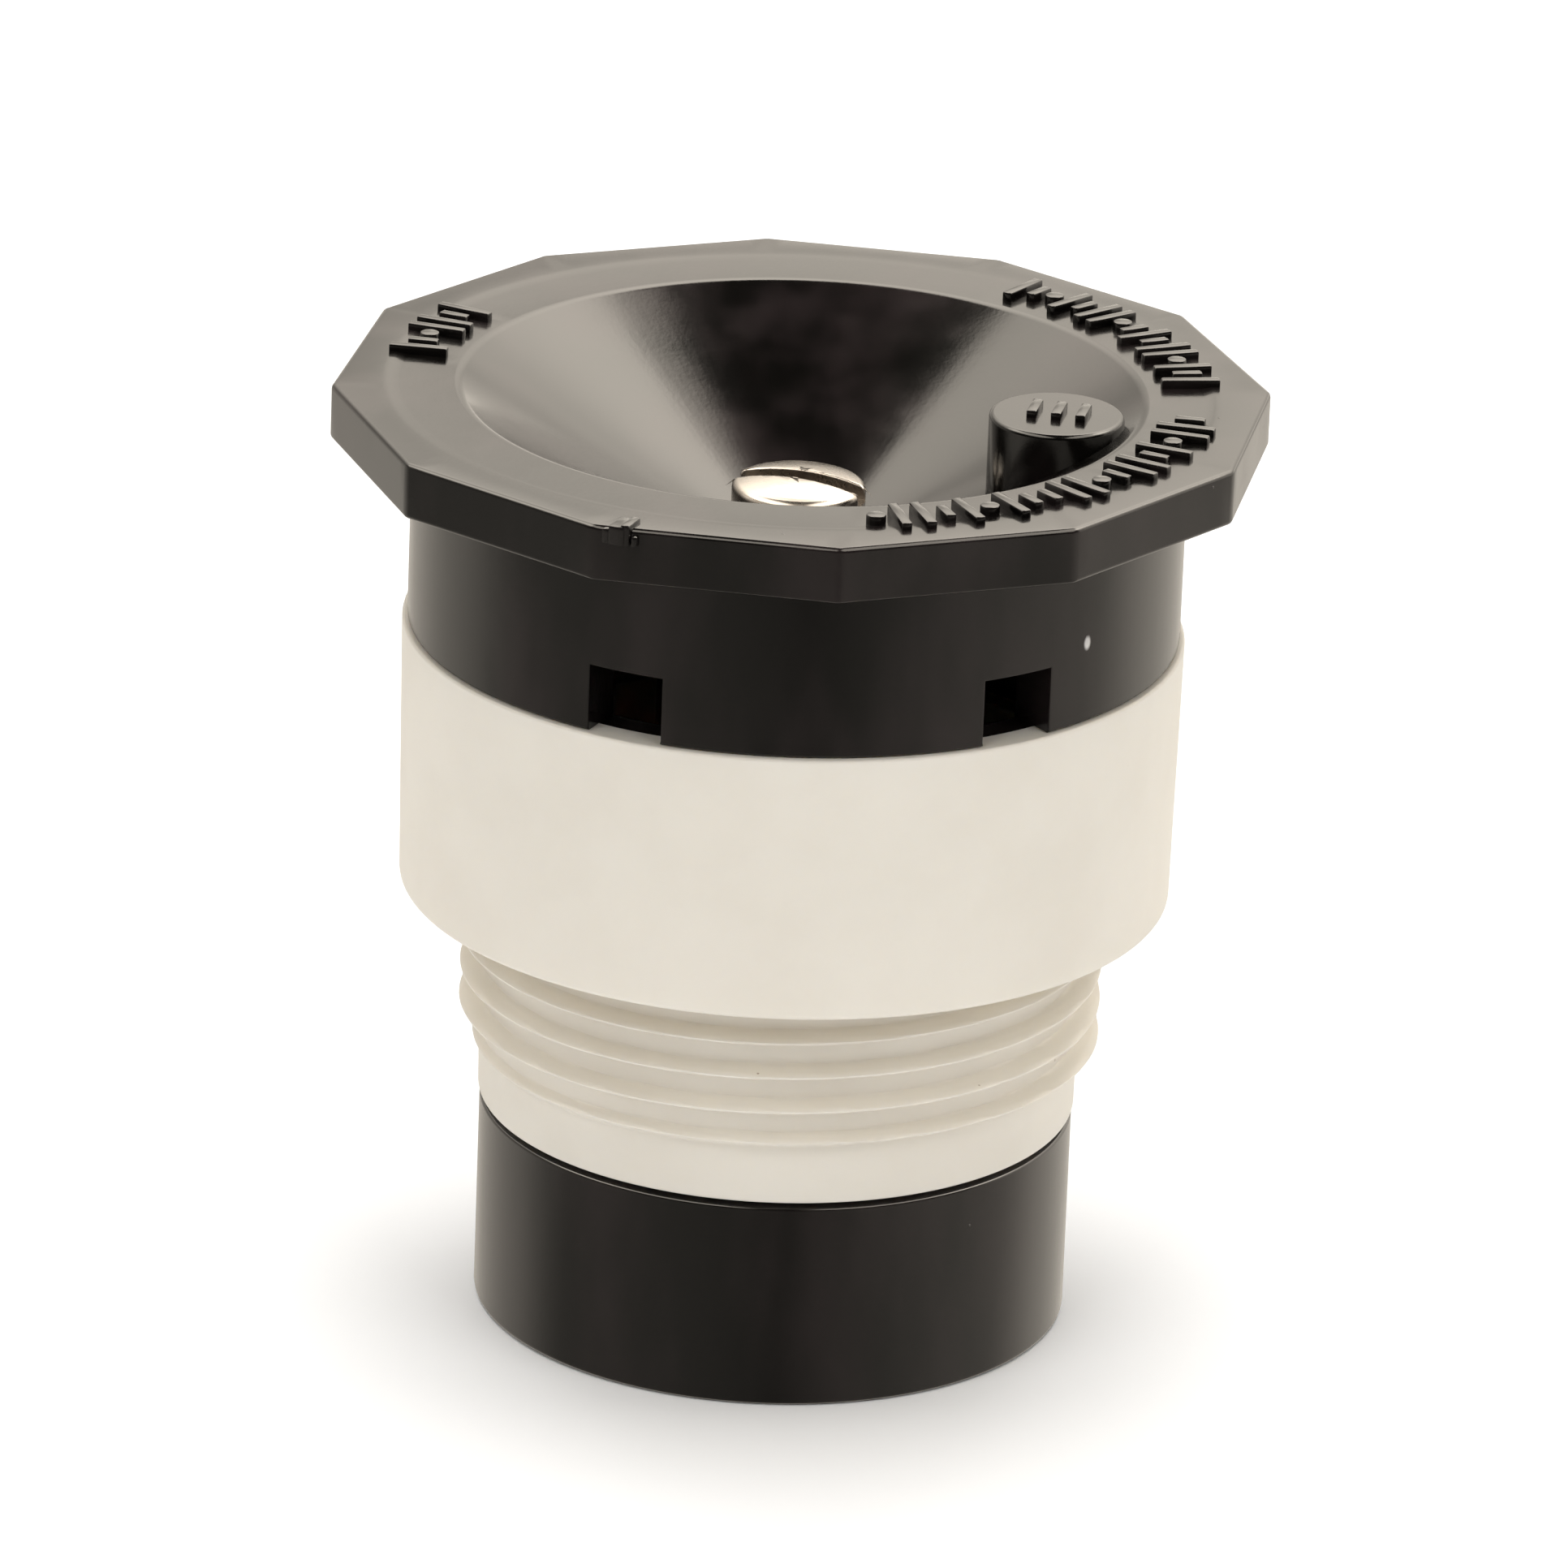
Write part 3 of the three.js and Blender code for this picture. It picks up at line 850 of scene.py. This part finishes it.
def cap_seal(finish):
    """A flat ring with a fine groove round its outside."""
    low, high = span("cap_seal")
    inner_r, middle_z, groove, corner = 8.15, (low.z + high.z) / 2, 0.08, 0.08
    seal = turned("cap_seal", [
        (inner_r, low.z, corner),
        (high.x, low.z, corner),
        (high.x, middle_z - groove),
        (high.x - groove, middle_z),
        (high.x, middle_z + groove),
        (high.x, high.z, corner),
        (inner_r, high.z, corner),
    ])
    return finish_piece(seal, "cap_seal", finish)


def flow_washer(finish):
    """The flow-control washer: a thick rubber disc with a small hole and a groove on top."""
    low, high = span("flow_washer")
    outer_r, hole_r, groove_r, groove_half, shoulder_z = high.x, 1.2, 3.1, 0.3, 9.05
    washer = turned("washer", [
        (hole_r, low.z + 0.05, 0.08),
        (outer_r, low.z, 0.12),
        (outer_r, shoulder_z, 0.15),
        (groove_r + groove_half, shoulder_z + 0.05, 0.06),
        (groove_r, shoulder_z - 0.1),
        (groove_r - groove_half, shoulder_z + 0.1, 0.06),
        (hole_r, high.z, 0.15),
    ])
    return finish_piece(washer, "flow_washer", finish)


def woven_screen(finish):
    """Plain-weave wire cloth: each wire waves over and under the wires that cross it."""
    low, high = span("screen_mesh")
    reach, pitch, wire_r = high.x, 0.55, 0.058
    middle_z = (low.z + high.z) / 2
    count = int(reach / pitch)

    def wire(across, phase):
        half = math.sqrt(reach**2 - across**2)
        deselect()
        bpy.ops.mesh.primitive_cylinder_add(vertices=8, radius=wire_r, depth=2 * half,
                                            rotation=(0, math.pi / 2, 0))
        made = settle(bpy.context.object)
        edit(made)
        choose(made, "EDGE", lambda e: e.calc_length() > half)
        bpy.ops.mesh.subdivide(number_cuts=max(4, int(2 * half / pitch * 5)))
        bpy.ops.object.mode_set(mode="OBJECT")
        for vert in made.data.vertices:
            vert.co.z += middle_z + wire_r * phase * math.cos(math.pi * vert.co.x / pitch)
            vert.co.y += across
        return made

    wires = []
    for i in range(-count, count + 1):
        along = wire(i * pitch, 1 if i % 2 else -1)
        crossing = wire(i * pitch, -1 if i % 2 else 1)
        crossing.rotation_euler.z = math.pi / 2
        wires += [along, settle(crossing)]
    return finish_piece(join(wires), "screen_mesh", finish, 60)


def screen_frame(finish):
    """The ring and cross ribs that hold the wire cloth up."""
    low, high = span("screen_frame")
    inner_r, hub_r, rib_width, rib_low, rib_top = 4.7, 1.3, 0.7, low.z + 0.2, high.z - 0.1
    ring = turned("frame", [(inner_r, low.z), (high.x, low.z), (high.x, high.z),
                            (inner_r, high.z)])
    sunk = 0.2
    size = (2 * (inner_r + sunk), rib_width, rib_top - rib_low)
    middle = (0, 0, (rib_low + rib_top) / 2)
    ribs = boolean(block(size, middle), block(size, middle, 90), "UNION")
    hub = post(hub_r, rib_low, rib_top, 0)
    boolean(ribs, hub, "UNION")
    boolean(ring, ribs, "UNION")
    soften(ring, 0.06, 40, 2)
    return finish_piece(ring, "screen_frame", finish)


# The studio.


def floor_sheet():
    """A pale floor just under the nozzle, clear from below so that the underside can be seen."""
    size, gap = 6, 0.00002
    deselect()
    bpy.ops.mesh.primitive_plane_add(size=size, location=(0, 0, -gap))
    sheet = bpy.context.object
    sheet.name = "floor"
    f = surface("pale_floor", Roughness=0.9, Specular_IOR_Level=0.1)
    paper = f.noise(f.place(), 0.05, 3)
    f.set("Base Color", f.mix(paper, grey(0.92), grey(0.94)))
    clear = f.add("ShaderNodeBsdfTransparent")
    geometry = f.add("ShaderNodeNewGeometry")
    both = f.add("ShaderNodeMixShader", None, {
        0: geometry.outputs["Backfacing"], 1: f.shader.outputs[0], 2: clear.outputs[0]})
    f.tree.links.new(both.outputs[0], f.tree.nodes["Material Output"].inputs[0])
    sheet.data.materials.append(f.owner)
    sheet.visible_glossy = False


def studio_world():
    """What gloss reflects: a bright sweep behind the nozzle with a sharp top edge, and two boxes
    high at the left and the right with a dark gap between them. The floor's own light is dimmer,
    and dimmest in front. Matte surfaces take a small share of the sweep and the boxes."""
    warm_white, matte_share, dark_room = (1.0, 0.92, 0.80, 1), 0.06, 0.02
    world = bpy.data.worlds.new("studio")
    bpy.context.scene.world = world
    f = Finish(world, "Background", {})
    direction = f.add("ShaderNodeTexCoord").outputs["Generated"]
    gloss = Value(f, f.add("ShaderNodeLightPath").outputs["Is Glossy Ray"])
    x, y, z = f.axes(direction)
    above_floor = z.between(-0.03, 0.0)
    side = (x * x) ** 0.5
    horizon = above_floor * (1 - z.between(0.02, 0.10))
    height = 1.35 + 0.8 * z.between(0.25, 0.38) + 4.2 * z.between(0.34, 0.85) + 0.5 * horizon
    sweep = y.between(-0.30, 0.10) * (1 - z.between(0.80, 0.86)) * above_floor
    dimmer_left = 1 - 0.25 * (1 - x.between(0.04, 0.09)) * (1 - z.between(0.36, 0.48))
    sweep = sweep * (1 + 0.5 * x) * height * dimmer_left
    box = (side - 0.2 * y).between(0.27, 0.33) * z.between(0.50, 0.60) * y.between(-0.8, -0.7)
    box = box * (1 - y.between(0.30, 0.40)) * 5.0
    share = matte_share + (1 - matte_share) * gloss
    ground = 0.20 + 0.42 * side * (1 + 0.5 * x) + 0.5 * y.between(0.0, 0.5)
    f.set("Color", warm_white)
    f.set("Strength", dark_room + (sweep + box) * share + ground * (1 - above_floor))


def softbox(name, azimuth, elevation, distance, size, watts):
    """A square light aimed at the nozzle's middle. Azimuth 0 is -Y, and it grows towards +X."""
    a, e = math.radians(azimuth), math.radians(elevation)
    aim = Vector((0, 0, 0.5 * CAP_HIGH.z * MM))
    place = aim + distance * Vector((math.sin(a) * math.cos(e), -math.cos(a) * math.cos(e),
                                     math.sin(e)))
    light = bpy.data.lights.new(name, "AREA")
    light.shape, light.size, light.energy = "SQUARE", size, watts
    holder = bpy.data.objects.new(name, light)
    bpy.context.scene.collection.objects.link(holder)
    holder.visible_glossy = False
    holder.location = place
    holder.rotation_euler = (aim - place).to_track_quat("-Z", "Y").to_euler()


def camera():
    """A long lens that looks 21 degrees down on the dish, standing a little left of -Y."""
    pitch, yaw, roll, azimuth = (math.radians(v) for v in (20.96, -0.026, 2.2, -5.2))
    distance, above_rim, lens_mm = 0.29207, 0.10154, 291.52
    look = Vector((math.sin(yaw) * math.cos(pitch), math.cos(yaw) * math.cos(pitch),
                   -math.sin(pitch)))
    level = Vector((math.cos(yaw), -math.sin(yaw), 0))
    up = level.cross(look)
    right = math.cos(roll) * level + math.sin(roll) * up
    above = -math.sin(roll) * level + math.cos(roll) * up
    placed = Matrix((right, above, -look)).transposed().to_4x4()
    placed.translation = Vector((0, -distance, above_rim + RIM_Z * MM))
    lens = bpy.data.cameras.new("camera")
    lens.lens, lens.sensor_width, lens.clip_start = lens_mm, 36, 0.01
    holder = bpy.data.objects.new("camera", lens)
    bpy.context.scene.collection.objects.link(holder)
    holder.matrix_world = Matrix.Rotation(azimuth, 4, "Z") @ placed
    bpy.context.scene.camera = holder


def build():
    """Makes every material and every piece."""
    black, cream, rubber = black_acetal(), cream_acetal(), seal_rubber()
    steel = turned_metal("turned_steel", light=grey(0.33, 0.09), dark=grey(0.24, 0.15),
                         roughness=0.22, lines_per_mm=9)
    brass = turned_metal("turned_brass", light=(0.78, 0.57, 0.27, 1), dark=(0.60, 0.42, 0.18, 1),
                         roughness=0.2, lines_per_mm=7)
    deflector_cap(black)
    nozzle_body(cream)
    inlet_sleeve(black)
    radius_screw(steel)
    throttle_plug(black)
    open_ring("plug_clip", steel, inner_r=0.55, outer_r=1.15, gap=0.8, azimuth=90)
    open_ring("screen_ring", steel, inner_r=5.1, outer_r=5.9, gap=2.6, azimuth=0, ears=0.18)
    metering_seat(brass)
    seal_ring("screw_seal", rubber, section_r=0.37)
    seal_ring("sleeve_seal", rubber, section_r=0.35)
    cap_seal(rubber)
    flow_washer(rubber)
    woven_screen(steel)
    screen_frame(black)


build()
floor_sheet()
studio_world()
for side_name, side_azimuth in (("key_left", -45), ("key_right", 45)):
    softbox(side_name, side_azimuth, elevation=38, distance=0.5, size=0.30, watts=0.74)
softbox("top", 180, elevation=80, distance=0.6, size=0.50, watts=4.5)
camera()
bpy.context.scene.view_settings.view_transform = "Standard"
